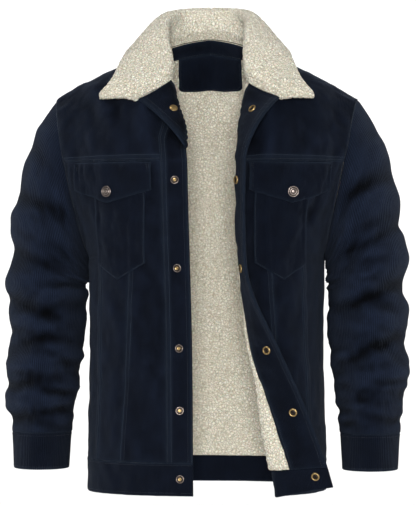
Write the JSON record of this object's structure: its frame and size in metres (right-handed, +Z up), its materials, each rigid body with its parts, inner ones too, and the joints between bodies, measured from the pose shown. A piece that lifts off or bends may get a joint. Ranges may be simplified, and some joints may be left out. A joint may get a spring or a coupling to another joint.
{
  "type": "sherpa lined jacket",
  "caption": "Corduroy trucker jacket lined with fleece, worn open, with a turned down fleece collar, flapped chest pockets, press studs and a hem band, filled out as if worn.",
  "frame": {"origin": "the middle of the neck opening, level with the tops of the shoulders, where the wearer's neck holds the jacket", "axes": "+Z up, the wearer faces -Y, +X is the wearer's left"},
  "size_m": [0.645, 0.3355, 0.7752],
  "materials": {
    "corduroy": "dark navy cotton corduroy, matt with a soft sheen along the wales",
    "fleece": "cream curly pile fleece, matt",
    "nickel": "nickel plated press stud, slightly worn",
    "brass": "antique brass plated socket"
  },
  "bodies": {
    "root": {"back_centre": "corduroy", "back_side_left": "corduroy", "back_side_right": "corduroy", "back_yoke": "corduroy", "cap_0": "nickel", "cap_1": "nickel", "cap_2": "nickel", "cap_3": "nickel", "cap_4": "nickel", "cap_5": "nickel", "cap_pocket_left": "nickel", "cap_pocket_right": "nickel", "collar": "fleece", "cuff_left": "corduroy", "cuff_right": "corduroy", "facing_left": "corduroy", "facing_right": "corduroy", "flap_left": "corduroy", "flap_right": "corduroy", "front_centre_left": "corduroy", "front_centre_right": "corduroy", "front_middle_left": "corduroy", "front_middle_right": "corduroy", "front_side_left": "corduroy", "front_side_right": "corduroy", "front_yoke_left": "corduroy", "front_yoke_right": "corduroy", "hem_band": "corduroy", "lining_back": "fleece", "lining_front_left": "fleece", "lining_front_right": "fleece", "neck_facing": "corduroy", "neck_patch": "corduroy", "placket_left": "corduroy", "placket_right": "corduroy", "pocket_left": "corduroy", "pocket_right": "corduroy", "post_0": "nickel", "post_1": "nickel", "post_2": "nickel", "post_3": "nickel", "post_4": "nickel", "post_5": "nickel", "sleeve_left": "corduroy", "sleeve_right": "corduroy", "socket_0": "brass", "socket_1": "brass", "socket_2": "brass", "socket_3": "brass", "socket_4": "brass", "socket_5": "brass", "under_collar": "corduroy", "under_sleeve_left": "corduroy", "under_sleeve_right": "corduroy"}
  },
  "joints": []
}
